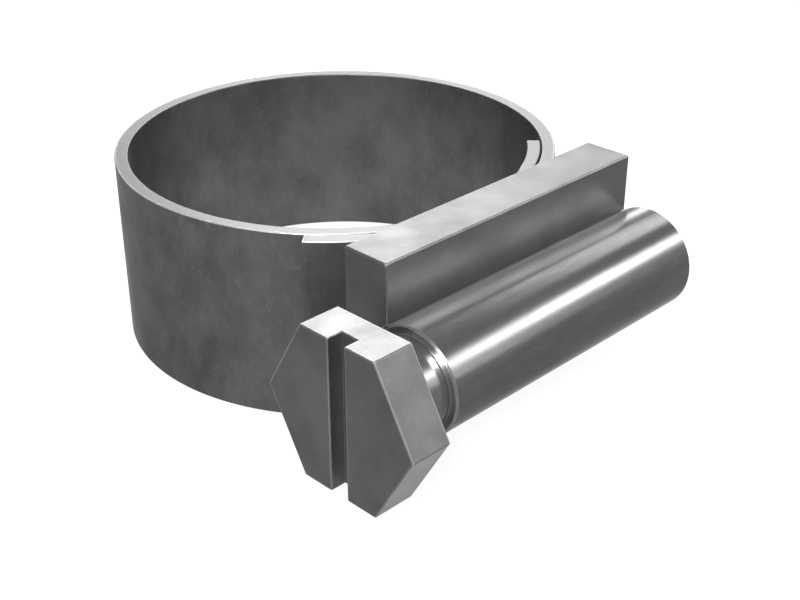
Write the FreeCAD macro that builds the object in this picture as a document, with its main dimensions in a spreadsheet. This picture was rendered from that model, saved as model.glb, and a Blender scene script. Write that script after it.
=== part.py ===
# Worm-drive hose clip of steel, in millimetres.
#
# +Z is the axis of the hose, and the origin is the point of that axis in the plane the clip rests on.
# The screw lies along X on the -Y side, with its head at the -X end.
# One steel strip makes the band. It starts with a tongue inside the ring, goes through the bridge,
# once round the hose, and through the bridge again outside its own start, where it ends in the tail.
# Grooves in the outer face of the strip mesh with the worm, so turning the screw draws the tail through.

import FreeCAD, Part
import Sketcher
import math
import os

doc = FreeCAD.newDocument("hose_clip")
Vector = FreeCAD.Vector


# Driving sizes: name, value, meaning. Lengths are in millimetres and angles in degrees.
SIZES = [
    ("ring_radius", "14.2", "inner radius of the ring, half the hose size"),
    ("band_width", "12.8", "height of the strip along the hose"),
    ("band_thickness", "0.9", "thickness of the strip"),
    ("layer_gap", "0.1", "gap between two layers of the strip where they overlap"),
    ("step_angle", "28", "angle over which a layer steps out by one layer, under the worm"),
    ("tongue_angle", "44.7", "end of the tongue, below +X as seen along the hose"),
    ("tail_angle", "139.9", "end of the tail, below +X on the other side"),
    ("band_chamfer", "0.1", "broken edges of the strip"),
    ("groove_side_gap", "0.09", "clearance of the worm's ridge at each side of a groove"),
    ("groove_root_gap", "0.12", "clearance under the worm's crest in a groove"),
    ("groove_length", "7", "length of a worm groove across the strip"),
    ("tail_grooves", "3", "grooves on the tail side of the middle one"),
    ("ring_grooves", "13", "grooves on the ring side of the middle one"),
    ("bridge_length", "22.8", "length of the bridge along the screw"),
    ("bridge_thickness", "3.45", "thickness of the bridge, away from the hose"),
    ("saddle_depth", "1.15", "how far the flat inner face of the bridge lies inside the ring"),
    ("bridge_overhang", "0.35", "height of the bridge above and below the edges of the strip"),
    ("bridge_edge_radius", "0.12", "rounding of the outer edges of the bridge"),
    ("passage_clearance", "0.05", "clearance round the strip inside the bridge"),
    ("barrel_wall", "0.5", "wall of the barrel"),
    ("barrel_end_wall", "1", "thickness of the closed ends of the barrel"),
    ("barrel_chamfer", "0.1", "broken edges of the ends of the barrel"),
    ("seat_gap", "0.02", "brazing gap between the barrel and its groove in the bridge"),
    ("running_clearance", "0.05", "radial clearance of the screw in the barrel"),
    ("end_play", "0.1", "axial clearance of the screw at each end of the bore"),
    ("neck_radius", "2.78", "radius of the neck of the screw"),
    ("neck_length", "3", "bare length of the neck, from head to barrel"),
    ("thrust_shoulder", "0.17", "radial height of the worm above the neck, which holds the screw in"),
    ("journal_radius", "1.5", "radius of the pilot journal at the far end of the screw"),
    ("head_across_flats", "10", "hexagon head across flats"),
    ("head_thickness", "2.85", "thickness of the head"),
    ("head_chamfer", "0.1", "broken edges of the two faces of the head"),
    ("slot_width", "1.3", "width of the driver slot"),
    ("slot_depth", "1.05", "depth of the driver slot"),
    ("worm_pitch", "2.4", "pitch of the worm, right-handed"),
    ("worm_turns", "5", "turns cut, an odd number so that a ridge meets the middle groove"),
    ("worm_depth", "0.8", "depth of the worm thread"),
    ("mesh_depth", "0.43", "how far the worm reaches into the strip"),
    ("worm_crest_width", "0.8", "width of a ridge of the worm at its crest"),
    ("worm_flank_angle", "20", "slope of the flanks of the worm"),
    ("worm_relief", "0.05", "extra depth of the turned reliefs at both ends of the thread"),
]

# Places and sizes that follow from the driving ones.
PLACES = [
    ("ring_mean", "=Sizes.ring_radius + Sizes.band_thickness / 2", "mean radius of the ring"),
    ("layer_step", "=Sizes.band_thickness + Sizes.layer_gap", "radial distance between two layers"),
    ("tongue_mean", "=ring_mean - layer_step", "mean radius of the tongue"),
    ("tail_mean", "=ring_mean + layer_step", "mean radius of the tail"),
    ("outer_bend", "=(ring_mean - tail_mean * cos(Sizes.step_angle)) / (1 - cos(Sizes.step_angle))",
     "mean bend radius of the step into the tail"),
    ("inner_bend", "=(tongue_mean - ring_mean * cos(Sizes.step_angle)) / (1 - cos(Sizes.step_angle))",
     "mean bend radius of the step out of the tongue"),
    ("half_thickness", "=Sizes.band_thickness / 2", "half the thickness of the strip"),
    ("passage_half", "=half_thickness + Sizes.passage_clearance", "the same with clearance"),
    ("passage_base", "=Sizes.bridge_overhang - Sizes.passage_clearance", "floor of the passage"),
    ("passage_height", "=Sizes.band_width + 2 * Sizes.passage_clearance", "height of the passage"),
    ("bridge_height", "=Sizes.band_width + 2 * Sizes.bridge_overhang", "height of the bridge"),
    ("middle", "=bridge_height / 2", "height of the screw axis"),
    ("bridge_inner", "=Sizes.ring_radius - Sizes.saddle_depth", "distance to its inner face"),
    ("bridge_outer", "=bridge_inner + Sizes.bridge_thickness", "distance to its outer face"),
    ("barrel_end", "=Sizes.bridge_length / 2", "end faces of bridge and barrel along the screw"),
    ("bore_end", "=barrel_end - Sizes.barrel_end_wall", "end of the bore along the screw"),
    ("worm_radius", "=Sizes.neck_radius + Sizes.thrust_shoulder", "crest radius of the worm"),
    ("worm_root", "=worm_radius - Sizes.worm_depth", "root radius of the worm"),
    ("bore_radius", "=worm_radius + Sizes.running_clearance", "inner radius of the barrel"),
    ("barrel_radius", "=bore_radius + Sizes.barrel_wall", "outer radius of the barrel"),
    ("seat_radius", "=barrel_radius + Sizes.seat_gap", "radius of the barrel's groove"),
    ("screw_distance", "=tail_mean + half_thickness + worm_radius - Sizes.mesh_depth",
     "distance from hose axis to screw axis"),
    ("groove_depth", "=Sizes.mesh_depth + Sizes.groove_root_gap", "depth of a groove in the strip"),
    ("groove_width", "=Sizes.worm_crest_width + 2 * Sizes.mesh_depth * tan(Sizes.worm_flank_angle)"
     " + 2 * Sizes.groove_side_gap", "width of a groove in the strip"),
    ("head_back", "=barrel_end + Sizes.neck_length", "distance to the back face of the head"),
    ("head_front", "=head_back + Sizes.head_thickness", "distance to the front face of the head"),
]


def fill_sheet(name, rows):
    """Make a sheet with a meaning and a named value in each row, and give its values as numbers."""
    sheet = doc.addObject("Spreadsheet::Sheet", name)
    for row, (alias, content, meaning) in enumerate(rows, start=1):
        sheet.set(f"A{row}", meaning)
        sheet.set(f"B{row}", content)
        sheet.setAlias(f"B{row}", alias)
    doc.recompute()
    return {alias: float(sheet.get(alias)) for alias, _, _ in rows}


size = fill_sheet("Sizes", SIZES)
place = fill_sheet("Places", PLACES)


def new_body(name):
    body = doc.addObject("PartDesign::Body", name)
    body.Label = name
    return body


def new_sketch(body, name, role, offset=None):
    """Put a sketch on an origin plane of its body, moved along the plane's normal by an expression."""
    sketch = body.newObject("Sketcher::SketchObject", name)
    plane = next(item for item in body.Origin.OriginFeatures if item.Role == role)
    sketch.AttachmentSupport = [(plane, "")]
    sketch.MapMode = "FlatFace"
    if offset:
        sketch.setExpression("AttachmentOffset.Base.z", offset)
    return sketch


def add_line(sketch, start, end):
    return sketch.addGeometry(Part.LineSegment(Vector(*start, 0), Vector(*end, 0)), False)


def add_arc(sketch, centre, radius, start, end):
    """Add an arc that runs anticlockwise from one angle to the other, in degrees."""
    circle = Part.Circle(Vector(*centre, 0), Vector(0, 0, 1), radius)
    return sketch.addGeometry(Part.ArcOfCircle(circle, math.radians(start), math.radians(end)), False)


def relate(sketch, kind, *references):
    return sketch.addConstraint(Sketcher.Constraint(kind, *references))


def drive(sketch, expression, kind, *references):
    """Add a dimension and bind it to an expression of the sheets."""
    index = relate(sketch, kind, *references)
    sketch.setExpression(f"Constraints[{index}]", expression)


def add_polygon(sketch, points):
    """Add a closed outline of straight lines whose corners coincide, and give the line numbers."""
    lines = [add_line(sketch, start, end) for start, end in zip(points, points[1:] + points[:1])]
    for line, following in zip(lines, lines[1:] + lines[:1]):
        relate(sketch, "Coincident", line, 2, following, 1)
    return lines


def add_rectangle(sketch, left, bottom, right, top):
    """Add a rectangle by four expressions for its sides, each a pair of value and expression."""
    x0, y0, x1, y1 = left[0], bottom[0], right[0], top[0]
    lines = add_polygon(sketch, [(x0, y0), (x1, y0), (x1, y1), (x0, y1)])
    for line, kind in zip(lines, ("Horizontal", "Vertical", "Horizontal", "Vertical")):
        relate(sketch, kind, line)
    drive(sketch, left[1], "DistanceX", -1, 1, lines[0], 1, x0)
    drive(sketch, bottom[1], "DistanceY", -1, 1, lines[0], 1, y0)
    drive(sketch, right[1], "DistanceX", -1, 1, lines[1], 2, x1)
    drive(sketch, top[1], "DistanceY", -1, 1, lines[1], 2, y1)


def add_feature(body, kind, name, sketch, **settings):
    feature = body.newObject("PartDesign::" + kind, name)
    feature.Profile = sketch
    for key, value in settings.items():
        setattr(feature, key, value)
    sketch.Visibility = False
    return feature


def round_edges(body, base, name, radius):
    """Round every edge of the last feature."""
    fillet = body.newObject("PartDesign::Fillet", name)
    fillet.Base = (base, [f"Face{number}" for number in range(1, len(base.Shape.Faces) + 1)])
    fillet.setExpression("Radius", radius)
    doc.recompute()


def break_edges(body, base, name, direction, width):
    """Chamfer the edges of the first and the last flat face of the last feature, along a direction."""
    places = [direction.dot(face.CenterOfMass) for face in base.Shape.Faces]
    ends = [f"Face{number}" for number, along in enumerate(places, start=1)
            if min(along - min(places), max(places) - along) < 1e-6]
    chamfer = body.newObject("PartDesign::Chamfer", name)
    chamfer.Base = (base, ends)
    chamfer.setExpression("Size", width)
    doc.recompute()


# The path of the strip

def add_stepped_edge(sketch, bend, outer, inner, shift, sign, left, right):
    """Add one long edge of the strip, seen along the hose, from its left end to its right end.

    On the left it is a circle about the hose of the outer mean radius, as far as the middle of the
    bridge. There a tighter bend starts, and a straight line follows it to the circle of the inner
    mean radius. Every radius is the mean one plus the shift towards either face of the strip.
    """
    offset = sign * place[shift]
    step = size["step_angle"]
    expressions = [f"Places.{name} {'+' if sign > 0 else '-'} Places.{shift}"
                   for name in (outer, bend, inner)]
    bend_centre = (0, place[bend] - place[outer])
    bend_radius = place[bend] + offset
    turn = math.radians(-90 + step)
    line_start = (bend_radius * math.cos(turn), bend_centre[1] + bend_radius * math.sin(turn))
    inner_radius = place[inner] + offset
    line_end = (inner_radius * math.cos(turn), inner_radius * math.sin(turn))

    pieces = []
    if left is not None:
        arc = add_arc(sketch, (0, 0), place[outer] + offset, left, -90)
        relate(sketch, "Coincident", arc, 3, -1, 1)
        drive(sketch, expressions[0], "Radius", arc, place[outer] + offset)
        pieces.append(arc)
    arc = add_arc(sketch, bend_centre, bend_radius, -90, -90 + step)
    relate(sketch, "PointOnObject", arc, 3, -2)
    drive(sketch, expressions[1], "Radius", arc, bend_radius)
    pieces.append(arc)
    line = add_line(sketch, line_start, line_end)
    pieces.append(line)
    arc = add_arc(sketch, (0, 0), inner_radius, -90 + step, right)
    relate(sketch, "Coincident", arc, 3, -1, 1)
    drive(sketch, expressions[2], "Radius", arc, inner_radius)
    pieces.append(arc)
    for piece, following in zip(pieces, pieces[1:]):
        relate(sketch, "Tangent", piece, 2, following, 1)
    return pieces


def close_end(sketch, piece, end, other, other_end, radii, angle, expression):
    """Close an end of the strip with a short line that points at the hose axis."""
    slope = math.radians(angle)
    points = [(radius * math.cos(slope), radius * math.sin(slope)) for radius in radii]
    line = add_line(sketch, *points)
    relate(sketch, "Coincident", line, 1, piece, end)
    relate(sketch, "Coincident", line, 2, other, other_end)
    relate(sketch, "PointOnObject", -1, 1, line)
    drive(sketch, expression, "Angle", line, slope)


def draw_strip(sketch):
    """Draw the whole strip seen along the hose: tail, ring and tongue between two long edges."""
    tail, tongue = -size["tail_angle"], -size["tongue_angle"]
    edges = []
    for sign in (1, -1):
        edge = add_stepped_edge(sketch, "outer_bend", "tail_mean", "ring_mean",
                                "half_thickness", sign, tail, 270)
        turn = add_stepped_edge(sketch, "inner_bend", "ring_mean", "tongue_mean",
                                "half_thickness", sign, None, tongue)
        relate(sketch, "Tangent", edge[-1], 2, turn[0], 1)
        edges.append(edge + turn)
    half = place["half_thickness"]
    for mean, angle, name, index, end in (("tail_mean", tail, "tail_angle", 0, 1),
                                          ("tongue_mean", tongue, "tongue_angle", -1, 2)):
        radii = (place[mean] + half, place[mean] - half)
        close_end(sketch, edges[0][index], end, edges[1][index], end, radii, angle,
                  f"180 - Sizes.{name}")


def draw_passage(sketch):
    """Draw the way of both layers through the bridge, with clearance, past its inner face."""
    left, right = -135, -45
    outer = add_stepped_edge(sketch, "outer_bend", "tail_mean", "ring_mean",
                             "passage_half", 1, left, right)
    inner = add_stepped_edge(sketch, "inner_bend", "ring_mean", "tongue_mean",
                             "passage_half", -1, left, right)
    half = place["passage_half"]
    for outer_mean, inner_mean, angle, index, end in (("tail_mean", "ring_mean", left, 0, 1),
                                                      ("ring_mean", "tongue_mean", right, -1, 2)):
        radii = (place[outer_mean] + half, place[inner_mean] - half)
        close_end(sketch, outer[index], end, inner[index], end, radii, angle, f"180 + {angle}")


def cut_passage(body, name):
    """Cut the way of the strip through a body, and make sure that it takes material away."""
    before = body.Tip.Shape.Volume
    sketch = new_sketch(body, name + "_outline", "XY_Plane", "Places.passage_base")
    draw_passage(sketch)
    pocket = add_feature(body, "Pocket", name, sketch, Reversed=True)
    pocket.setExpression("Length", "Places.passage_height")
    doc.recompute()
    if not pocket.Shape.Volume < before:
        raise RuntimeError(name + " cuts nothing")


# Band

def make_grooves():
    """Make the cutters of the worm grooves, one pitch apart along the middle of the strip.

    Each is a slot with round ends, laid across the strip at the worm's own slope.
    """
    tail, ring, bend = place["tail_mean"], place["ring_mean"], place["outer_bend"]
    half = place["half_thickness"]
    spacing = size["worm_pitch"] * tail / (tail + half)
    step = math.radians(size["step_angle"])
    bend_length = bend * step
    line_length = (tail - bend) * math.sin(step)
    slope = math.degrees(math.atan(size["worm_pitch"] / (2 * math.pi * place["worm_radius"])))
    width, length, depth = place["groove_width"], size["groove_length"], place["groove_depth"]
    height = 2 * size["band_thickness"]

    straight = Part.makeBox(width, length - width, height,
                            Vector(-width / 2, -(length - width) / 2, -depth))
    ends = [Part.makeCylinder(width / 2, height, Vector(0, side * (length - width) / 2, -depth))
            for side in (-1, 1)]
    slot = straight.multiFuse(ends).removeSplitter()

    cutters = []
    first, last = -int(size["tail_grooves"]), int(size["ring_grooves"])
    for number in range(first, last + 1):
        along = number * spacing
        if along <= 0:
            turn = along / tail
            x, y = 0, 0
            radius = tail + half
        elif along <= bend_length:
            turn = along / bend
            x, y = 0, bend - tail
            radius = bend + half
        elif along <= bend_length + line_length:
            turn = step
            run = along - bend_length
            x, y = run * math.cos(step), bend - tail + run * math.sin(step)
            radius = bend + half
        else:
            turn = step + (along - bend_length - line_length) / ring
            x, y = 0, 0
            radius = ring + half
        outward = Vector(math.sin(turn), -math.cos(turn), 0)
        centre = Vector(x, y, place["middle"]) + outward * radius
        across = Vector(0, 0, 1)
        frame = FreeCAD.Rotation(across.cross(outward), across, outward, "ZYX")
        tilt = FreeCAD.Rotation(Vector(0, 0, 1), -slope)
        cutter = slot.copy()
        cutter.Placement = FreeCAD.Placement(centre, frame * tilt)
        cutters.append(cutter)
    return Part.makeCompound(cutters)


def make_band():
    body = new_body("strip")
    sketch = new_sketch(body, "strip_outline", "XY_Plane", "Sizes.bridge_overhang")
    draw_strip(sketch)
    pad = add_feature(body, "Pad", "strip_pad", sketch)
    pad.setExpression("Length", "Sizes.band_width")
    doc.recompute()
    break_edges(body, pad, "strip_edges", Vector(0, 0, 1), "Sizes.band_chamfer")

    grooves = doc.addObject("Part::Feature", "grooves")
    grooves.Shape = make_grooves()
    band = doc.addObject("Part::Cut", "band")
    band.Base = body
    band.Tool = grooves
    band.Label = "band"
    doc.recompute()
    if not band.Shape.Volume < body.Shape.Volume:
        raise RuntimeError("the grooves cut nothing")
    return band


# Bridge

def make_bridge():
    body = new_body("bridge")
    sketch = new_sketch(body, "bridge_outline", "XY_Plane")
    end, outer, inner = place["barrel_end"], place["bridge_outer"], place["bridge_inner"]
    add_rectangle(sketch, (-end, "-Places.barrel_end"), (-outer, "-Places.bridge_outer"),
                  (end, "Places.barrel_end"), (-inner, "-Places.bridge_inner"))
    pad = add_feature(body, "Pad", "bridge_pad", sketch)
    pad.setExpression("Length", "Places.bridge_height")
    doc.recompute()
    round_edges(body, pad, "bridge_rounding", "Sizes.bridge_edge_radius")
    cut_passage(body, "bridge_passage")

    before = body.Tip.Shape.Volume
    sketch = new_sketch(body, "seat_outline", "YZ_Plane")
    centre = (-place["screw_distance"], place["middle"])
    circle = sketch.addGeometry(Part.Circle(Vector(*centre, 0), Vector(0, 0, 1), place["seat_radius"]))
    drive(sketch, "-Places.screw_distance", "DistanceX", -1, 1, circle, 3, centre[0])
    drive(sketch, "Places.middle", "DistanceY", -1, 1, circle, 3, centre[1])
    drive(sketch, "Places.seat_radius", "Radius", circle, place["seat_radius"])
    pocket = add_feature(body, "Pocket", "barrel_seat", sketch, Midplane=True)
    pocket.setExpression("Length", "2 * Sizes.bridge_length")
    doc.recompute()
    if not pocket.Shape.Volume < before:
        raise RuntimeError("the barrel seat cuts nothing")
    return body


# Turned parts: barrel and screw

def draw_turned(sketch, corners):
    """Draw half the section of a turned part above the screw axis.

    A corner is two pairs of value and expression: its distance along the axis, then its radius.
    """
    axis = -place["screw_distance"]
    points = [(along[0], axis + radius[0]) for along, radius in corners]
    lines = add_polygon(sketch, points)
    for line, (along, radius), (x, y) in zip(lines, corners, points):
        drive(sketch, along[1], "DistanceX", -1, 1, line, 1, x)
        drive(sketch, f"{radius[1]} - Places.screw_distance", "DistanceY", -1, 1, line, 1, y)


def add_axis(sketch):
    """Add the screw axis to a sketch, as the line that a revolution or a helix turns about."""
    axis, end = -place["screw_distance"], place["head_front"]
    line = sketch.addGeometry(Part.LineSegment(Vector(-end, axis, 0), Vector(end, axis, 0)), True)
    relate(sketch, "Horizontal", line)
    drive(sketch, "-Places.screw_distance", "DistanceY", -1, 1, line, 1, axis)


def turn_profile(body, name, corners):
    sketch = new_sketch(body, name + "_section", "XY_Plane", "Places.middle")
    draw_turned(sketch, corners)
    add_axis(sketch)
    return add_feature(body, "Revolution", name, sketch, ReferenceAxis=(sketch, ["Axis0"]), Angle=360)


def pair(value, expression):
    return (value, expression)


def make_barrel():
    """Make the barrel: a tube drawn in at both ends, open towards the strip."""
    body = new_body("barrel")
    end, bore_end = place["barrel_end"], place["bore_end"]
    outer, bore = place["barrel_radius"], place["bore_radius"]
    clearance = size["running_clearance"]
    corners = [
        (pair(-end, "-Places.barrel_end"),
         pair(size["neck_radius"] + clearance, "Sizes.neck_radius + Sizes.running_clearance")),
        (pair(-end, "-Places.barrel_end"), pair(outer, "Places.barrel_radius")),
        (pair(end, "Places.barrel_end"), pair(outer, "Places.barrel_radius")),
        (pair(end, "Places.barrel_end"),
         pair(size["journal_radius"] + clearance, "Sizes.journal_radius + Sizes.running_clearance")),
        (pair(bore_end, "Places.bore_end"),
         pair(size["journal_radius"] + clearance, "Sizes.journal_radius + Sizes.running_clearance")),
        (pair(bore_end, "Places.bore_end"), pair(bore, "Places.bore_radius")),
        (pair(-bore_end, "-Places.bore_end"), pair(bore, "Places.bore_radius")),
        (pair(-bore_end, "-Places.bore_end"),
         pair(size["neck_radius"] + clearance, "Sizes.neck_radius + Sizes.running_clearance")),
    ]
    tube = turn_profile(body, "barrel_tube", corners)
    doc.recompute()
    break_edges(body, tube, "barrel_edges", Vector(1, 0, 0), "Sizes.barrel_chamfer")
    cut_passage(body, "barrel_window")
    return body


def make_head(body):
    """Make the hexagon head with flats above and below, and break the edges of its faces."""
    sketch = new_sketch(body, "head_outline", "YZ_Plane", "-Places.head_front")
    corner_radius = size["head_across_flats"] / math.sqrt(3)
    centre = (-place["screw_distance"], place["middle"])
    points = [(centre[0] + corner_radius * math.cos(math.radians(60 * turn)),
               centre[1] + corner_radius * math.sin(math.radians(60 * turn))) for turn in range(6)]
    lines = add_polygon(sketch, points)
    circle = sketch.addGeometry(Part.Circle(Vector(*centre, 0), Vector(0, 0, 1), corner_radius), True)
    drive(sketch, "-Places.screw_distance", "DistanceX", -1, 1, circle, 3, centre[0])
    drive(sketch, "Places.middle", "DistanceY", -1, 1, circle, 3, centre[1])
    for line in lines:
        relate(sketch, "PointOnObject", line, 1, circle)
    for line in lines[1:]:
        relate(sketch, "Equal", lines[0], line)
    relate(sketch, "Horizontal", lines[1])
    drive(sketch, "Sizes.head_across_flats", "DistanceY", lines[4], 1, lines[1], 1,
          size["head_across_flats"])
    pad = add_feature(body, "Pad", "head_pad", sketch)
    pad.setExpression("Length", "Sizes.head_thickness")
    doc.recompute()
    break_edges(body, pad, "head_edges", Vector(1, 0, 0), "Sizes.head_chamfer")


def cut_slot(body):
    before = body.Tip.Shape.Volume
    sketch = new_sketch(body, "slot_outline", "YZ_Plane", "-Places.head_front")
    centre, half, reach = place["screw_distance"], size["slot_width"] / 2, size["head_across_flats"]
    middle = place["middle"]
    add_rectangle(sketch, (-centre - half, "-Places.screw_distance - Sizes.slot_width / 2"),
                  (middle - reach, "Places.middle - Sizes.head_across_flats"),
                  (-centre + half, "-Places.screw_distance + Sizes.slot_width / 2"),
                  (middle + reach, "Places.middle + Sizes.head_across_flats"))
    pocket = add_feature(body, "Pocket", "driver_slot", sketch, Reversed=True)
    pocket.setExpression("Length", "Sizes.slot_depth")
    doc.recompute()
    if not pocket.Shape.Volume < before:
        raise RuntimeError("the driver slot cuts nothing")


def cut_worm(body):
    """Cut the thread of the worm: a groove with sloping flanks, wound about the screw axis."""
    before = body.Tip.Shape.Volume
    start = -size["worm_turns"] * size["worm_pitch"] / 2
    start_text = "-Sizes.worm_turns * Sizes.worm_pitch / 2"
    crest_half = (size["worm_pitch"] - size["worm_crest_width"]) / 2
    crest_text = "(Sizes.worm_pitch - Sizes.worm_crest_width) / 2"
    slope = math.tan(math.radians(size["worm_flank_angle"]))
    slope_text = "tan(Sizes.worm_flank_angle)"
    rise = size["running_clearance"]
    top_half = crest_half + rise * slope
    top_text = f"({crest_text} + Sizes.running_clearance * {slope_text})"
    root_half = crest_half - size["worm_depth"] * slope
    root_text = f"({crest_text} - Sizes.worm_depth * {slope_text})"
    top = pair(place["worm_radius"] + rise, "Places.worm_radius + Sizes.running_clearance")
    root = pair(place["worm_root"], "Places.worm_root")
    corners = [
        (pair(start - root_half, f"{start_text} - {root_text}"), root),
        (pair(start + root_half, f"{start_text} + {root_text}"), root),
        (pair(start + top_half, f"{start_text} + {top_text}"), top),
        (pair(start - top_half, f"{start_text} - {top_text}"), top),
    ]
    sketch = new_sketch(body, "thread_section", "XY_Plane", "Places.middle")
    draw_turned(sketch, corners)
    add_axis(sketch)
    helix = add_feature(body, "SubtractiveHelix", "worm_thread", sketch,
                        ReferenceAxis=(sketch, ["Axis0"]), Mode=0)
    helix.setExpression("Pitch", "Sizes.worm_pitch")
    helix.setExpression("Height", "Sizes.worm_turns * Sizes.worm_pitch")
    doc.recompute()
    if not helix.Shape.Volume < before:
        raise RuntimeError("the worm thread cuts nothing")


def make_screw():
    """Make the screw in one piece: slotted hexagon head, neck, worm between two lands, and journal."""
    body = new_body("worm_screw")
    make_head(body)
    cut_slot(body)
    land = place["bore_end"] - size["end_play"]
    land_text = "(Places.bore_end - Sizes.end_play)"
    reach = size["worm_turns"] * size["worm_pitch"] / 2
    reach_text = "Sizes.worm_turns * Sizes.worm_pitch / 2"
    relief_out = reach + size["worm_pitch"] / 2
    relief_out_text = f"({reach_text} + Sizes.worm_pitch / 2)"
    relief_in = reach - (size["worm_pitch"] - size["worm_crest_width"]) / 2
    relief_in_text = f"({reach_text} - (Sizes.worm_pitch - Sizes.worm_crest_width) / 2)"
    crest = pair(place["worm_radius"], "Places.worm_radius")
    relief = pair(place["worm_root"] - size["worm_relief"], "Places.worm_root - Sizes.worm_relief")
    neck = pair(size["neck_radius"], "Sizes.neck_radius")
    journal = pair(size["journal_radius"], "Sizes.journal_radius")
    tip = pair(place["barrel_end"] - size["end_play"], "Places.barrel_end - Sizes.end_play")
    head = pair(-place["head_back"] - size["head_thickness"] / 4,
                "-Places.head_back - Sizes.head_thickness / 4")
    axis = pair(0, "0")
    corners = [
        (head, axis),
        (head, neck),
        (pair(-land, f"-{land_text}"), neck),
        (pair(-land, f"-{land_text}"), crest),
        (pair(-relief_out, f"-{relief_out_text}"), crest),
        (pair(-relief_out, f"-{relief_out_text}"), relief),
        (pair(-relief_in, f"-{relief_in_text}"), relief),
        (pair(-relief_in, f"-{relief_in_text}"), crest),
        (pair(relief_in, relief_in_text), crest),
        (pair(relief_in, relief_in_text), relief),
        (pair(relief_out, relief_out_text), relief),
        (pair(relief_out, relief_out_text), crest),
        (pair(land, land_text), crest),
        (pair(land, land_text), journal),
        (tip, journal),
        (tip, axis),
    ]
    turn_profile(body, "shank", corners)
    doc.recompute()
    cut_worm(body)
    return body


# Check and write

parts = [make_band(), make_bridge(), make_barrel(), make_screw()]
doc.recompute()

for item in doc.Objects:
    if "Invalid" in item.State or "Error" in item.State:
        raise RuntimeError(f"{item.Name} failed: {item.State}")

os.makedirs("parts", exist_ok=True)
for part in parts:
    shape = part.Shape
    if shape.isNull() or not shape.isValid() or len(shape.Solids) != 1:
        raise RuntimeError(part.Label + " is not one sound solid")
    shape.exportStep(f"parts/{part.Label}.step")
    box = shape.BoundBox
    print(f"{part.Label}: {shape.Volume:.2f} mm3, x {box.XMin:.2f} to {box.XMax:.2f}, "
          f"y {box.YMin:.2f} to {box.YMax:.2f}, z {box.ZMin:.2f} to {box.ZMax:.2f}")
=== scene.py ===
# %% [markdown]
# # A worm-drive hose clip
# The clip is one strip of steel looped round a hose, with both ends through a steel bar,
# the bridge. A screw in a tube beside the bridge pulls the strip tight. Everything is bare
# steel, so the lesson is about three things: clean surfaces, small rounded edges that
# catch the light, and a studio that gives the metal something to reflect.
#
# ## Load the clip
# The clip comes in as it was drawn for making, in metres and with one object for each piece.
# The bridge and the barrel stay as they are. The strip and the screw have facets where the
# real ones are round, so they are drawn again further down, and each new piece names
# the one that it takes the place of.

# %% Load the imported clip
import math

import bpy
import numpy as np
from mathutils import Matrix, Vector


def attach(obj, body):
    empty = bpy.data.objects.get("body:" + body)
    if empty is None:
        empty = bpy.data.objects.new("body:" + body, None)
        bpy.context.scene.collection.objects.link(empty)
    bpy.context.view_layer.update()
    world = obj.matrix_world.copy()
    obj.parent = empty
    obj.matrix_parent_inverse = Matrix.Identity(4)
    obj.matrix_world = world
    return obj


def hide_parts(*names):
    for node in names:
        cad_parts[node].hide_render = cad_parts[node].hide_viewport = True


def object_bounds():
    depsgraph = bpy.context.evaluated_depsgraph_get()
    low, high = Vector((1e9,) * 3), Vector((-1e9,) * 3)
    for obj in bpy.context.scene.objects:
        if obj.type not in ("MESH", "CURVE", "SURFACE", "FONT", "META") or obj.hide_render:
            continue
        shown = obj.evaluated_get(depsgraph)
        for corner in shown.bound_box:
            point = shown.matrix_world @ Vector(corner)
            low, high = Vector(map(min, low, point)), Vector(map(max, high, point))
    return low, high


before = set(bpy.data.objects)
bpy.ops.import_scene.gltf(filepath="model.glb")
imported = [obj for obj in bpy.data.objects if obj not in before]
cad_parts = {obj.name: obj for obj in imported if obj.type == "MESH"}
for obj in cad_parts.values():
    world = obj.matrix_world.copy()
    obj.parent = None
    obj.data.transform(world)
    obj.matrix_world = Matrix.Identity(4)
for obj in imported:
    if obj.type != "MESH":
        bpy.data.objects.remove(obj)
CAD_BOX = [list(corner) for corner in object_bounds()]
MM = 0.001
print("pieces:", sorted(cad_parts), "box:", CAD_BOX)

# %% [markdown]
# ## The camera
# The photograph was taken from above the clip's front left corner with a fairly long lens.
# The place, the angles and the lens below were fitted to its edges and corners, so the
# render lies on the photograph to about half a pixel.

# %% Place the camera
CAMERA_PLACE = Vector((-57.05, -63.07, 46.48)) * MM
YAW, PITCH = 0.7874, -0.4953
LENS, SENSOR = 58.84, 36
NEAREST, FURTHEST = 0.005, 10

camera = bpy.data.objects.new("camera", bpy.data.cameras.new("camera"))
bpy.context.scene.collection.objects.link(camera)
level, rise = math.cos(PITCH), math.sin(PITCH)
forward = Vector((math.sin(YAW) * level, math.cos(YAW) * level, rise))
right = Vector((math.cos(YAW), -math.sin(YAW), 0))
turn = Matrix((right, right.cross(forward), -forward)).transposed()
camera.matrix_world = Matrix.Translation(CAMERA_PLACE) @ turn.to_4x4()
camera.data.lens, camera.data.sensor_width = LENS, SENSOR
camera.data.clip_start, camera.data.clip_end = NEAREST, FURTHEST
bpy.context.scene.camera = camera
print("camera at", [round(c, 4) for c in CAMERA_PLACE])

# %% [markdown]
# ## Helpers for shaders
# A shader is a graph of nodes. One helper starts an empty material, and one adds a node and
# wires it up in a single line. The others are for what comes up most: arithmetic, a range
# moved to another range, a blend of two values, and a plain grey. With them a shader
# further down reads like a formula.

# %% Helpers for shader nodes
def new_material(name):
    """Makes an empty node material and returns it with its tree and its output node."""
    material = bpy.data.materials.new(name)
    material.use_nodes = True
    material.node_tree.nodes.clear()
    return material, material.node_tree, material.node_tree.nodes.new("ShaderNodeOutputMaterial")


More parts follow.
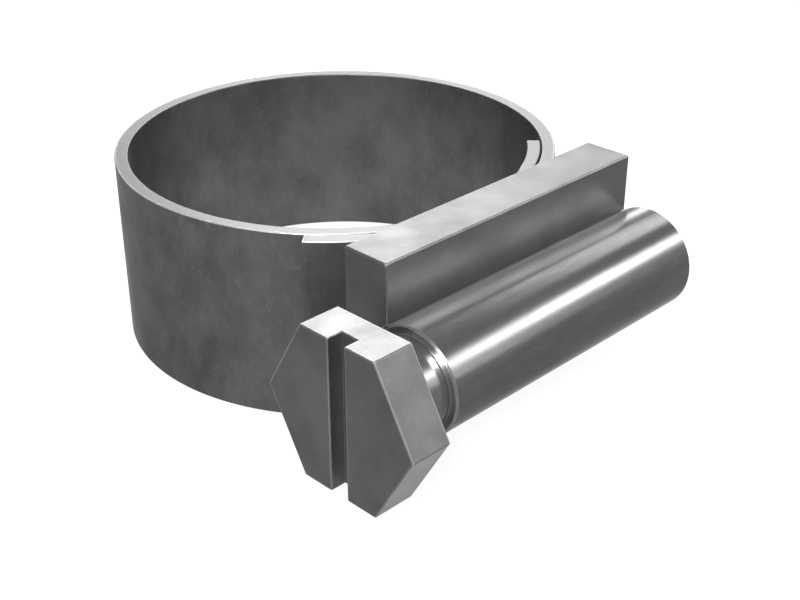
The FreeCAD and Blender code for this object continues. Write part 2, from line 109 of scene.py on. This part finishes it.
def add(tree, kind, inputs=None, **settings):
    """Adds a node, sets its settings, and fills or links the inputs that are named."""
    node = tree.nodes.new("ShaderNode" + kind)
    for key, value in settings.items():
        setattr(node, key, value)
    for key, value in (inputs or {}).items():
        if isinstance(value, bpy.types.NodeSocket):
            tree.links.new(value, node.inputs[key])
        else:
            node.inputs[key].default_value = value
    return node


def calculate(tree, operation, *numbers):
    """Gives the result of one operation, such as MULTIPLY or ABSOLUTE, on one number or two."""
    return add(tree, "Math", dict(enumerate(numbers)), operation=operation).outputs[0]


def remap(tree, value, low, high, to_low=0.0, to_high=1.0):
    """Moves a value from the range low to high to the range to_low to to_high, and stops it at the ends."""
    return add(tree, "MapRange", {"Value": value, "From Min": low, "From Max": high,
                                  "To Min": to_low, "To Max": to_high}).outputs[0]


def blend(tree, share, below, above, kind="RGBA"):
    """Goes from below to above as share goes from 0 to 1. Both are colours, or numbers if kind is FLOAT."""
    first, second, result = {"RGBA": (6, 7, 2), "FLOAT": (2, 3, 0)}[kind]
    return add(tree, "Mix", {"Factor": share, first: below, second: above}, data_type=kind).outputs[result]


def grey(value):
    """Gives the colour that is value in red, green and blue."""
    return (value, value, value, 1)


HELPERS = (new_material, add, calculate, remap, blend, grey)
print("helpers:", [helper.__name__ for helper in HELPERS])

# %% [markdown]
# ## Floor and background
# The photograph is on pure white. White paper in strong light would also throw that light up
# at the clip and make the steel pale. So the floor is dark to the light that falls on it,
# and glows by itself where the camera or a mirror image looks at it. The glow rises from
# 0.9 beside the clip to 1 further out, which leaves room for a faint shadow. The air
# around is as white, but gives the floor only a third of that as light.

# %% Floor and background
FLOOR_GLOW, FLOOR_SHADE, FLOOR_HALF = 0.9, 0.14, 2.0
GLOW_RISES_FROM, GLOW_IS_FULL_AT = 0.03, 0.3
AIR_LIGHT = 0.35


def seen_directly(tree):
    """Is 1 where the camera, a mirror image or glass looks at the surface, and else 0."""
    path = add(tree, "LightPath").outputs
    seen = calculate(tree, "MAXIMUM", path["Is Camera Ray"], path["Is Glossy Ray"])
    return calculate(tree, "MAXIMUM", seen, path["Is Transmission Ray"])


floor_paint, tree, output = new_material("floor_paint")
place = add(tree, "TexCoord").outputs["Object"]
from_clip = add(tree, "VectorMath", {0: place}, operation="LENGTH").outputs["Value"]
level = remap(tree, from_clip, GLOW_RISES_FROM, GLOW_IS_FULL_AT, FLOOR_GLOW, 1.0)
glow = calculate(tree, "MULTIPLY", seen_directly(tree), level)
light = add(tree, "Emission", {"Color": grey(1), "Strength": glow}).outputs[0]
matt = add(tree, "BsdfDiffuse", {"Color": grey(FLOOR_SHADE)}).outputs[0]
total = add(tree, "AddShader", {0: light, 1: matt}).outputs[0]
tree.links.new(total, output.inputs["Surface"])

corners = [(x * FLOOR_HALF, y * FLOOR_HALF, 0) for x, y in ((-1, -1), (1, -1), (1, 1), (-1, 1))]
floor_mesh = bpy.data.meshes.new("floor")
floor_mesh.from_pydata(corners, [], [(0, 1, 2, 3)])
floor_mesh.materials.append(floor_paint)
floor = bpy.data.objects.new("floor", floor_mesh)
floor.location.z = CAD_BOX[0][2]
bpy.context.scene.collection.objects.link(floor)

world = bpy.data.worlds.new("studio")
world.use_nodes = True
tree = world.node_tree
tree.nodes.clear()
level = remap(tree, seen_directly(tree), 0.0, 1.0, AIR_LIGHT, 1.0)
air = add(tree, "Background", {"Color": grey(1), "Strength": level}).outputs[0]
tree.links.new(air, tree.nodes.new("ShaderNodeOutputWorld").inputs["Surface"])
bpy.context.scene.world = world
bpy.context.scene.view_settings.view_transform = "Standard"
print("floor at height", floor.location.z, "and white surroundings")

# %% [markdown]
# ## Lamps
# Polished metal is only as good as what it reflects. A lamp shows wherever the surface is a
# mirror between it and the camera, so each lamp is placed by asking which surface shall
# be bright. The three at the back meet all faces that look up. The side softbox draws the
# long streak on the barrel, the low one the faint band under it and the high one the
# band above it. The front softbox lifts the faces towards the camera a little. The
# shoulder softbox hangs behind the camera's left shoulder, and makes the patch on
# the screw's neck and the white lines along the front edges.

# %% Lamps
LAMP_DISTANCE = 0.6


def softbox(name, azimuth, elevation, width, height, radiance):
    """Hangs a rectangular lamp in a direction seen from the clip, turned to face the clip.
    Its power is four times its area times radiance, and a mirror shows it at about that radiance."""
    a, e = math.radians(azimuth), math.radians(elevation)
    away = Vector((math.cos(a) * math.cos(e), math.sin(a) * math.cos(e), math.sin(e)))
    data = bpy.data.lights.new(name, "AREA")
    data.shape, data.size, data.size_y = "RECTANGLE", width, height
    data.energy = 4 * radiance * width * height
    lamp = bpy.data.objects.new(name, data)
    lamp.location = away * LAMP_DISTANCE
    lamp.rotation_mode = "QUATERNION"
    lamp.rotation_quaternion = away.to_track_quat("Z", "Y")
    bpy.context.scene.collection.objects.link(lamp)
    print(name, "at", [round(c, 3) for c in lamp.location])


# Azimuth and elevation in degrees, width and height in metres, and radiance.
SOFTBOXES = {
    "back_softbox": (46, 34, 0.16, 0.13, 20.5),
    "back_right_softbox": (34, 17, 0.20, 0.12, 8.3),
    "back_left_softbox": (58, 12, 0.20, 0.10, 11.5),
    "side_softbox": (-42, 28, 0.26, 0.12, 12.6),
    "low_softbox": (-56, 14, 0.20, 0.14, 2.8),
    "high_softbox": (10, 40, 0.24, 0.10, 4.6),
    "front_softbox": (-112, 24, 0.25, 0.12, 5.5),
    "shoulder_softbox": (-146, 39, 0.14, 0.15, 63.0),
}
for name, settings in SOFTBOXES.items():
    softbox(name, *settings)

# %% [markdown]
# ## Surfaces from formulas
# The bridge and the barrel keep the shape that came with the clip. The strip and the
# screw are drawn again as finer surfaces. Each is a grid of points: one number runs
# along the piece and the other round its section, and numpy works out all points at
# once. A mesh is then only that grid with a face in every cell.

# %% Skin a grid of points
def skin(name, grid, body, node, smooth_below=40):
    """Makes a closed piece from a grid of points in millimetres, rows along it and columns round it.
    Every cell becomes a quad, and the first and last rows are closed with one face each. The volume is a
    sixth of the sum of all corner products, and where it is negative the faces are turned over."""
    rows, columns = grid.shape[:2]
    index = np.arange(rows * columns).reshape(rows, columns)
    beside = np.roll(index, -1, axis=1)
    quads = np.stack([index[:-1], beside[:-1], beside[1:], index[1:]], axis=-1).reshape(-1, 4)
    points = grid.reshape(-1, 3) * MM
    a, b, c, d = (points[quads[:, k]] for k in range(4))
    volume = (np.cross(a, b) * c).sum() + (np.cross(a, c) * d).sum()
    ends = [index[0][::-1], index[-1]]
    if volume < 0:
        quads, ends = quads[:, ::-1], [end[::-1] for end in ends]
    mesh = bpy.data.meshes.new(name)
    mesh.from_pydata(points.tolist(), [], quads.tolist() + [end.tolist() for end in ends])
    mesh.shade_smooth()
    mesh.set_sharp_from_angle(angle=math.radians(smooth_below))
    piece = bpy.data.objects.new(name, mesh)
    bpy.context.scene.collection.objects.link(piece)
    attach(piece, body)
    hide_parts(node)
    print(name, len(mesh.vertices), "points", len(mesh.polygons), "faces")
    return piece


# %% [markdown]
# ## The strip
# The strip is rolled steel, so its long edges are slightly rounded. Seen along the hose it
# is a chain of arcs: the tail outside, a step in through the bridge, once round the hose, a
# second step, and the tongue inside. Each arc starts where the last one ends and in the
# same direction, so lengths and curvatures say all, and the strip has no kink.

# %% The chain of arcs
TAIL, RING, TONGUE = 15.65, 14.65, 13.65
TAIL_TURN, STEP, TONGUE_TURN = np.radians([49.9, 28.0, 45.3])
OUTER_BEND, INNER_BEND = ((inner - outer * np.cos(STEP)) / (1 - np.cos(STEP))
                          for outer, inner in ((TAIL, RING), (RING, TONGUE)))
CURVES = np.array([1 / TAIL, 1 / OUTER_BEND, 0, 1 / RING, 1 / INNER_BEND, 0, 1 / TONGUE])
LENGTHS = np.array([TAIL * TAIL_TURN, OUTER_BEND * STEP, (TAIL - OUTER_BEND) * np.sin(STEP),
                    RING * (2 * np.pi - STEP), INNER_BEND * STEP, (RING - INNER_BEND) * np.sin(STEP),
                    TONGUE * (TONGUE_TURN - STEP)])
STARTS = np.concatenate([[0], np.cumsum(LENGTHS)[:-1]])
HEADINGS = np.concatenate([[0], np.cumsum(LENGTHS * CURVES)[:-1]]) - TAIL_TURN


def chord(length, curve, heading):
    """Gives the straight way across an arc. It is as long as the arc times the sine of half its turn
    over that half, and points along the heading at the start plus half the turn."""
    half = curve * length / 2
    reach = length * np.sinc(half / np.pi)
    return np.stack([reach * np.cos(heading + half), reach * np.sin(heading + half)], axis=-1)


JOINS = np.cumsum(chord(LENGTHS, CURVES, HEADINGS), axis=0)[:-1]
JOINS = np.vstack([[0, 0], JOINS]) + TAIL * np.array([-np.sin(TAIL_TURN), -np.cos(TAIL_TURN)])


def strip_line(s):
    """Gives the strip's middle line at the distance s from the end of the tail, and the direction out of
    the ring. A point is the start of its arc plus a chord, and outward is the heading turned a quarter
    to the right."""
    arc = np.maximum(np.searchsorted(STARTS, s, side="right") - 1, 0)
    within = s - STARTS[arc]
    heading = HEADINGS[arc] + CURVES[arc] * within
    outward = np.stack([np.sin(heading), -np.cos(heading)], axis=-1)
    return JOINS[arc] + chord(within, CURVES[arc], HEADINGS[arc]), outward


STRIP_LENGTH = LENGTHS.sum()
tongue_end = strip_line(np.array([STRIP_LENGTH]))[0][0]
print("strip", round(STRIP_LENGTH, 2), "mm long")
print("its tongue ends", np.hypot(*tongue_end).round(3), "mm from the hose axis")

# %% [markdown]
# ## The worm grooves
# The screw grips the strip in slanted slots, one for each turn of its worm. They are pressed
# in, so their walls are a little soft. They could be cut out with slot-shaped tools, but
# a formula for the depth at every point gives the soft walls without any cutting.

# %% The worm grooves
LOW, HIGH, THICKNESS = 0.35, 13.15, 0.9
MIDDLE = (LOW + HIGH) / 2
PITCH, WORM_RADIUS = 2.4, 2.95
SPACING = PITCH * TAIL / (TAIL + THICKNESS / 2)
SLOPE = np.arctan(PITCH / (2 * np.pi * WORM_RADIUS))
GROOVE_DEPTH, GROOVE_WIDTH, GROOVE_LENGTH, GROOVE_WALL = 0.55, 1.293, 7.0, 0.25
FIRST_GROOVE, LAST_GROOVE = -3, 13


def groove_depth(s, z):
    """Gives how deep the outer face is pressed in. Each groove is a slot with round ends on a slanted line,
    so the distance to it is the distance to that line less half its width. From the slot's edge
    inwards the depth rises over the wall as three times the square less twice the cube."""
    offset = s - STARTS[1]
    number = np.round((offset - np.tan(SLOPE) * (z - MIDDLE)) / SPACING)
    number = np.clip(number, FIRST_GROOVE, LAST_GROOVE)
    p, q = offset - number * SPACING, z - MIDDLE
    across = p * np.cos(SLOPE) - q * np.sin(SLOPE)
    beyond = np.maximum(np.abs(p * np.sin(SLOPE) + q * np.cos(SLOPE)) - (GROOVE_LENGTH - GROOVE_WIDTH) / 2, 0)
    inside = np.clip((GROOVE_WIDTH / 2 - np.hypot(across, beyond)) / GROOVE_WALL, 0, 1)
    return GROOVE_DEPTH * inside ** 2 * (3 - 2 * inside)


print("grooves", round(SPACING, 3), "mm apart, slanted by", np.degrees(SLOPE).round(2), "degrees")

# %% [markdown]
# ## The section, carried along
# The strip is a rounded rectangle carried along the chain of arcs. The rows of points lie
# close together across each groove and lean as the grooves do. A wall then runs along the
# rows, and is smooth where an upright grid would show it as stairs.

# %% Section of the strip, and the strip
EDGE = 0.07
QUARTER = np.linspace(0, np.pi / 2, 6)
CORNER_GAP = 0.03
ROW_GAP, TAIL_SPACING, RING_SPACING, LEAN_FADES_OVER = 0.3, 0.5, 0.45, 3


def strip_section():
    """Gives the rounded rectangle: distances out of the ring, heights, and both parts of its normal. Each
    side has a corner after it, which is a quarter circle: its centre plus the edge radius times cosine
    and sine. The points lie closer together where the grooves end, 2.7 to 3.65 mm from the middle."""
    half, low, high = THICKNESS / 2 - EDGE, LOW + EDGE, HIGH - EDGE
    near_corner = np.array([CORNER_GAP, 0.2])
    groove_end = np.linspace(2.7, 3.65, 16)
    up_outside = np.concatenate([low + near_corner, [1.3, 2.2], MIDDLE - groove_end[::-1],
                                 MIDDLE + np.linspace(-2.1, 2.1, 8), MIDDLE + groove_end,
                                 [11.3, 12.2], high - near_corner[::-1]])
    down_inside = np.concatenate([high - near_corner, np.linspace(12.2, 1.3, 12), low + near_corner[::-1]])
    inwards = np.linspace(half - CORNER_GAP, CORNER_GAP - half, 4)
    sides = ((half + EDGE, up_outside, 0.0, half, high), (inwards, HIGH, np.pi / 2, -half, high),
             (-half - EDGE, down_inside, np.pi, -half, low), (-inwards, LOW, -np.pi / 2, half, low))
    parts = []
    for out, height, turn, centre_out, centre_height in sides:
        parts.append(np.stack(np.broadcast_arrays(out, height, turn)))
        turn = QUARTER + turn
        parts.append(np.stack([centre_out + EDGE * np.cos(turn), centre_height + EDGE * np.sin(turn), turn]))
    out, height, turn = np.concatenate(parts, axis=1)
    return out, height, np.cos(turn), np.sin(turn)


def strip_rows():
    """Gives the distances of the rows from the tail's end, and how much each row leans. Rows lie close
    across every groove, two more lie between it and the next, and all lean as the grooves do. Away from
    the grooves the lean falls to nothing."""
    across = np.concatenate([np.linspace(-0.66, 0.66, 23), [0.9, 1.4]])
    grooves = STARTS[1] + SPACING * np.arange(FIRST_GROOVE, LAST_GROOVE + 1)
    pressed = (grooves[:, None] + across).ravel()
    first, last = pressed[0], pressed[-1]
    round_off = EDGE * (1 - np.cos(QUARTER))
    before = np.arange(ROW_GAP, first - ROW_GAP, TAIL_SPACING)
    after = np.arange(last + ROW_GAP, STRIP_LENGTH - ROW_GAP, RING_SPACING)
    rows = np.concatenate([round_off, before, pressed, after, STRIP_LENGTH - round_off[::-1]])
    lean_in = np.clip((rows - first) / LEAN_FADES_OVER + 1, 0, 1)
    lean_out = np.clip((last - rows) / LEAN_FADES_OVER + 1, 0, 1)
    return rows, lean_in * lean_out


def strip_grid():
    """Carries the section along the line. A point is the middle line plus outward times its distance out.
    Near both ends the section shrinks along its normal by the edge radius less the height of a
    quarter circle."""
    rows, lean = strip_rows()
    out, height, normal_out, normal_up = strip_section()
    s = rows[:, None] + lean[:, None] * np.tan(SLOPE) * (height - MIDDLE)
    middle, outward = strip_line(s)
    to_end = np.minimum(np.minimum(rows, STRIP_LENGTH - rows), EDGE)
    shrink = (EDGE - np.sqrt(EDGE ** 2 - (EDGE - to_end) ** 2))[:, None]
    on_outer_face = normal_out > 0.999
    pressed_in = np.where(on_outer_face, groove_depth(s, height), 0)
    plan = middle + outward * (out - shrink * normal_out - pressed_in)[..., None]
    return np.dstack([plan, height - shrink * normal_up])


strip = skin("strip", strip_grid(), "clip", "band", smooth_below=180)

# %% [markdown]
# ## The head of the screw
# The head is a hexagon with a saw cut for a screwdriver. Level by level it is one U-shaped
# outline, narrow at the flats above and below and widest in the middle, so three
# levels are enough, and a Bevel modifier then breaks its edges as the maker's tool did.

# %% The head
AXIS = -18.62
HEAD_BACK, HEAD_FRONT, SLOT_FLOOR, SLOT_HALF, FLATS = -14.4, -17.25, -16.2, 0.65, 10.0
BROKEN_EDGE = 0.07


def head_grid():
    """Gives three levels of the head's outline. Half the width is the corner radius in the middle and half of
    it at the flats, and the corner radius is the width across flats over the square root of three."""
    corner = FLATS / np.sqrt(3)
    width = np.array([corner / 2, corner, corner / 2])[:, None]
    level = MIDDLE + np.array([-FLATS / 2, 0, FLATS / 2])[:, None]
    along = np.array([HEAD_BACK, HEAD_FRONT, HEAD_FRONT, SLOT_FLOOR,
                      SLOT_FLOOR, HEAD_FRONT, HEAD_FRONT, HEAD_BACK])
    aside = np.array([-1, -1, 0, 0, 0, 0, 1, 1]) * width + np.array([0, 0, -1, -1, 1, 1, 0, 0]) * SLOT_HALF
    return np.dstack(np.broadcast_arrays(along, AXIS + aside, level))


head = skin("screw_head", head_grid(), "screw", "worm_screw", smooth_below=180)
bevel = head.modifiers.new("broken_edges", "BEVEL")
bevel.width, bevel.segments, bevel.limit_method = BROKEN_EDGE * MM, 3, "ANGLE"
bevel.angle_limit = math.radians(30)
bevel.harden_normals = True

# %% [markdown]
# ## The shank of the screw
# The rest of the screw is turned: neck, two plain lands and the journal. The worm between
# the lands is the same turned surface, with a radius that also depends on the angle.
# Most of it is hidden in the barrel, but it shows when the pieces are taken apart.

# %% The shank with its worm
CREST_HALF, RIDGE_HEIGHT, FLANK = 0.4, 0.8, np.radians(20)
WORM_END = 5.2
# Places along the axis and radii: first the neck and a plain land, then the other land and the journal.
NEAR_CORNERS = np.array([(-15.0, 2.82), (-10.32, 2.82), (-10.3, 2.8), (-10.3, 2.9), (-10.25, 2.95),
                         (-7.25, 2.95), (-7.2, 2.9), (-7.15, 2.1), (-5.25, 2.1), (-WORM_END, WORM_RADIUS)])
FAR_CORNERS = np.array([(WORM_END, WORM_RADIUS), (5.25, 2.1), (7.15, 2.1), (7.2, 2.9), (7.25, 2.95),
                        (10.25, 2.95), (10.3, 2.9), (10.3, 1.5), (11.2, 1.5), (11.3, 1.4)])


def worm_radius(x, turn):
    """Gives the worm's radius. The ridge's middle moves one pitch along per turn. Within half the crest's width
    of it the radius is full, and beyond that it falls by the distance over the flank's tangent."""
    from_ridge = np.abs((x / PITCH - turn / (2 * np.pi) + 0.5) % 1 - 0.5) * PITCH
    return WORM_RADIUS - np.clip((from_ridge - CREST_HALF) / np.tan(FLANK), 0, RIDGE_HEIGHT)


def shank_grid():
    """Gives the turned surface: along the axis, and radius times cosine and sine of the angle about it."""
    worm = np.linspace(-5.15, 5.15, 207)
    x = np.concatenate([NEAR_CORNERS[:, 0], worm, FAR_CORNERS[:, 0]])[:, None]
    plain = np.concatenate([NEAR_CORNERS[:, 1], np.full_like(worm, WORM_RADIUS), FAR_CORNERS[:, 1]])[:, None]
    turn = np.linspace(0, 2 * np.pi, 96, endpoint=False)
    radius = np.where(np.abs(x) <= WORM_END, worm_radius(x, turn), plain)
    return np.dstack([np.broadcast_to(x, radius.shape), AXIS + radius * np.cos(turn),
                      MIDDLE + radius * np.sin(turn)])


shank = skin("screw_shank", shank_grid(), "screw", "worm_screw")

# %% [markdown]
# ## Clouds on bare steel
# Steel that has been handled is never one grey. Thin clouds of scale and oil lie on it, and
# its roughness changes with them. Its edges are made bright, which is wear and also a painted
# highlight, and its corners are darkened with painted shade. Each of these is a small node group,
# so that all five finishes share it and only their values differ. The clouds are wide and small
# patches of noise in equal parts, and a fine noise gives the grain. A drawn tube has marks that are long
# in its direction, so the noise can be stretched along an axis.

# %% Shared effect: clouds on the metal
WIDE_SCALE, FINE_SCALE = 0.35, 8.0
DARKEST, LIGHTEST = 0.35, 0.65


def new_group(name, inputs, outputs):
    """Makes a node group with float sockets: inputs maps a name to its value, outputs lists the names.
    Gives the group, the sockets that bring values in, and those that take results out."""
    group = bpy.data.node_groups.new(name, "ShaderNodeTree")
    for label, value in inputs.items():
        group.interface.new_socket(label, in_out="INPUT", socket_type="NodeSocketFloat").default_value = value
    for label in outputs:
        group.interface.new_socket(label, in_out="OUTPUT", socket_type="NodeSocketFloat")
    return group, group.nodes.new("NodeGroupInput").outputs, group.nodes.new("NodeGroupOutput").inputs


clouds, given, result = new_group(
    "clouds", {"Patches per Metre": 300.0, "Place": 0.0, "Along X": 1.0, "Along Z": 1.0}, ["Cloud", "Speckle"])
patches = given["Patches per Metre"]
stretch = add(clouds, "CombineXYZ", {"X": given["Along X"], "Y": 1.0, "Z": given["Along Z"]}).outputs[0]
aside = add(clouds, "CombineXYZ", {"X": given["Place"], "Y": given["Place"], "Z": given["Place"]}).outputs[0]
place = add(clouds, "TexCoord").outputs["Object"]
drawn_out = add(clouds, "VectorMath", {0: place, 1: stretch}, operation="MULTIPLY").outputs[0]
spot = add(clouds, "VectorMath", {0: drawn_out, 1: aside}, operation="ADD").outputs[0]
wide = add(clouds, "TexNoise", {"Vector": spot, "Scale": calculate(clouds, "MULTIPLY", patches, WIDE_SCALE),
                                "Detail": 2.0, "Roughness": 0.5}).outputs["Fac"]
small = add(clouds, "TexNoise", {"Vector": spot, "Scale": patches, "Detail": 6.0,
                                 "Roughness": 0.62, "Distortion": 0.1}).outputs["Fac"]
fine = add(clouds, "TexNoise", {"Vector": spot, "Scale": calculate(clouds, "MULTIPLY", patches, FINE_SCALE),
                                "Detail": 4.0, "Roughness": 0.6}).outputs["Fac"]
both = blend(clouds, 0.5, wide, small, "FLOAT")
clouds.links.new(remap(clouds, both, DARKEST, LIGHTEST), result["Cloud"])
clouds.links.new(fine, result["Speckle"])
print("effect", clouds.name)

# %% [markdown]
# ## Rubbed edges and painted highlight
# An edge meets hands and other clips first, so it is worn brighter than the faces beside it.
# Its light colour is also a painted highlight, for the thin bright lines that lamps draw on
# rounded edges. To find the edges the shader sends a few rays into the steel: close under
# an edge they soon come out again, and under a flat face they don't. That needs no texture
# and follows every edge.

# %% Shared effect: rubbed edges with painted highlight
UNDER_FLAT, UNDER_EDGE, RAYS = 0.95, 0.6, 12
# The edge mask drives both wear and a painted highlight.
edges, given, result = new_group("rubbed_and_highlit_edges", {"Width": 0.0001}, ["Edge"])
solid = add(edges, "AmbientOcclusion", {"Distance": given["Width"]},
            samples=RAYS, inside=True, only_local=True).outputs["AO"]
edges.links.new(remap(edges, solid, UNDER_FLAT, UNDER_EDGE), result["Edge"])
print("effect", edges.name)

# %% [markdown]
# ## Painted shade in corners
# The same rays sent outwards find the corners, where another surface is near. There the
# steel is darkened a little, as painted shade for the light that the corners lose.

# %% Shared effect: painted shade in corners
# Painted shade: the colour is darkened where another surface is near.
corner_shade, given, result = new_group("painted_corner_shade", {"Reach": 0.001}, ["Grime"])
open_sky = add(corner_shade, "AmbientOcclusion", {"Distance": given["Reach"]}, samples=RAYS).outputs["AO"]
corner_shade.links.new(calculate(corner_shade, "SUBTRACT", 1.0, open_sky), result["Grime"])
print("effect", corner_shade.name)

# %% [markdown]
# ## Cut faces
# The strip was slit from a wide sheet and the barrel's ends were faced, and such faces are
# cleaner than the skin from the rolling mill. They look along an axis and lie beyond
# a distance from the middle. Both are asked, because the ends of the grooves look
# along the axis too. The second output leaves out what lies near the hose axis, so the
# inner edge of the ring, which rests on the hose, gets neither wear nor painted highlight.

# %% Shared effect: cut faces
ASLANT, SQUARE_ON = 0.1, 0.6
cuts, given, result = new_group("cut_faces", {"Along X": 0.0, "Along Z": 1.0, "Middle": 0.0, "Beyond": 0.0,
                                              "Hose Side": 0.0}, ["Cut", "Exposed"])
where = add(cuts, "TexCoord").outputs
line = add(cuts, "CombineXYZ", {"X": given["Along X"], "Z": given["Along Z"]}).outputs[0]
facing = add(cuts, "VectorMath", {0: where["Normal"], 1: line}, operation="DOT_PRODUCT").outputs["Value"]
faces_out = remap(cuts, calculate(cuts, "ABSOLUTE", facing), ASLANT, SQUARE_ON)
place = add(cuts, "VectorMath", {0: where["Object"], 1: line}, operation="DOT_PRODUCT").outputs["Value"]
off_middle = calculate(cuts, "ABSOLUTE", calculate(cuts, "SUBTRACT", place, given["Middle"]))
lies_out = calculate(cuts, "GREATER_THAN", off_middle, given["Beyond"])
cut_face = calculate(cuts, "MULTIPLY", faces_out, lies_out)
in_plan = add(cuts, "VectorMath", {0: where["Object"], 1: (1, 1, 0)}, operation="MULTIPLY").outputs[0]
from_hose = add(cuts, "VectorMath", {0: in_plan}, operation="LENGTH").outputs["Value"]
outer_side = calculate(cuts, "GREATER_THAN", from_hose, given["Hose Side"])
cuts.links.new(cut_face, result["Cut"])
cuts.links.new(calculate(cuts, "MULTIPLY", cut_face, outer_side), result["Exposed"])
print("effect", cuts.name)

# %% [markdown]
# ## One steel finish
# In white surroundings a metal is as bright as its colour, so the colours here are about
# 0.1, the grey that the photograph shows. Between two pieces of steel that would be
# wrong: the light would lose nine tenths at each of them, and the barrel would mirror
# the bridge as if it were black paint. Real steel keeps six to eight tenths. So a
# mirror image of a piece shows it with that value, and the barrel's streak comes
# back in the bridge as it does in the photograph.

# %% One steel finish
FLECKS_FROM, FLECKS_FULL, FLECK_SHARE, FLECK_GAIN = 0.55, 0.75, 0.25, 1.35
DULLEST, SHINIEST, LEAST_WEAR_AND_HIGHLIGHT = 1.1, 0.9, 0.5
SHADE_GREY, SHADE_REACH = 0.012, 0.0008


def use(tree, group, **values):
    """Places a shared effect and sets its inputs, with underscores for the spaces in their names."""
    node = tree.nodes.new("ShaderNodeGroup")
    node.node_tree = group
    for key, value in values.items():
        node.inputs[key.replace("_", " ")].default_value = value
    return node.outputs


def steel(name, dark, light, roughness, seed, rim_tint=0.6, edge_wear_and_highlight=0.4, edge_width=0.00012, patches=420,
          along_x=1.0, along_z=1.0, shade_share=0.15, in_steel=0.7, bump=0.000004,
          cut=None, cut_roughness=None, cut_place=None):
    """A bare steel. Its colour runs from dark to light with the clouds, and its roughness from a tenth above
    the given one to a tenth below. Cut faces have their own grey and roughness, edges are light as wear and
    a painted highlight, and painted shade darkens the corners. Seen in another piece of steel it has the grey
    in_steel instead."""
    material, tree, output = new_material(name)
    effect = use(tree, clouds, Patches_per_Metre=patches, Place=seed, Along_X=along_x, Along_Z=along_z)
    cloud, speckle = effect["Cloud"], effect["Speckle"]
    colour = blend(tree, cloud, grey(dark), grey(light))
    fleck = remap(tree, speckle, FLECKS_FROM, FLECKS_FULL, 0.0, FLECK_SHARE)
    colour = blend(tree, fleck, colour, grey(light * FLECK_GAIN))
    gloss = remap(tree, cloud, 0.0, 1.0, roughness * DULLEST, roughness * SHINIEST)
    wear_and_highlight = remap(tree, cloud, 0.0, 1.0, LEAST_WEAR_AND_HIGHLIGHT, 1.0)
    if cut:
        cut_face = use(tree, cuts, **cut_place)
        colour = blend(tree, cut_face["Cut"], colour, grey(cut))
        gloss = blend(tree, cut_face["Cut"], gloss, cut_roughness, "FLOAT")
        wear_and_highlight = calculate(tree, "MULTIPLY", wear_and_highlight, cut_face["Exposed"])
    # Edges get a light colour: wear and a painted highlight.
    worn_and_highlit = calculate(tree, "MULTIPLY", use(tree, edges, Width=edge_width)["Edge"], wear_and_highlight)
    colour = blend(tree, worn_and_highlit, colour, grey(edge_wear_and_highlight))
    # The corners are darkened: painted shade.
    corner_shading = calculate(tree, "MULTIPLY", use(tree, corner_shade, Reach=SHADE_REACH)["Grime"], shade_share)
    colour = blend(tree, corner_shading, colour, grey(SHADE_GREY))
    colour = blend(tree, add(tree, "LightPath").outputs["Is Glossy Ray"], colour, grey(in_steel))
    uneven = add(tree, "Bump", {"Height": speckle, "Distance": bump}).outputs[0]
    metal = add(tree, "BsdfPrincipled", {"Base Color": colour, "Metallic": 1.0, "Roughness": gloss,
                                         "Normal": uneven, "Specular Tint": grey(rim_tint)}).outputs[0]
    tree.links.new(metal, output.inputs["Surface"])
    print("finish", name)
    return material


print("finish maker:", steel.__name__)

# %% [markdown]
# ## Five finishes
# The strip and the bridge keep the dull skin of the mill. The barrel is drawn and polished,
# so its clouds are long and faint and the lamps in it are sharp. The head is as dull as
# the bridge, and its edges are broken wider. The shank was turned, so it is brighter
# than the head. The strip's slit edges and the barrel's ends are cut faces.

# %% Dress the pieces
SLIT_EDGES = {"Along_Z": 1.0, "Middle": MIDDLE * MM, "Beyond": 0.0061, "Hose_Side": RING * MM}
TUBE_ENDS = {"Along_X": 1.0, "Along_Z": 0.0, "Beyond": 0.0112}
FINISHES = {
    strip: steel(
        "strip_steel", dark=0.066, light=0.128, roughness=0.38, seed=5.55, rim_tint=0.5, edge_wear_and_highlight=1.0,
        along_z=0.7, in_steel=0.58, cut=0.108, cut_roughness=0.38, cut_place=SLIT_EDGES),
    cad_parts["bridge"]: steel(
        "bridge_steel", dark=0.066, light=0.09, roughness=0.36, seed=8.51, in_steel=0.58),
    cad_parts["barrel"]: steel(
        "barrel_steel", dark=0.077, light=0.118, roughness=0.23, seed=2.59, edge_wear_and_highlight=1.0, edge_width=0.0001,
        patches=600, along_x=0.2, shade_share=0.0, in_steel=0.74, bump=0.0000015,
        cut=0.1, cut_roughness=0.25, cut_place=TUBE_ENDS),
    head: steel(
        "screw_steel", dark=0.061, light=0.094, roughness=0.36, seed=3.0, rim_tint=1.0, edge_wear_and_highlight=0.42,
        in_steel=0.58),
    shank: steel(
        "turned_steel", dark=0.085, light=0.12, roughness=0.26, seed=4.0, rim_tint=0.9, shade_share=0.0,
        in_steel=0.8, bump=0.0000015),
}
for piece, finish in FINISHES.items():
    piece.data.materials.clear()
    piece.data.materials.append(finish)
print("dressed:", sorted(piece.name for piece in FINISHES))
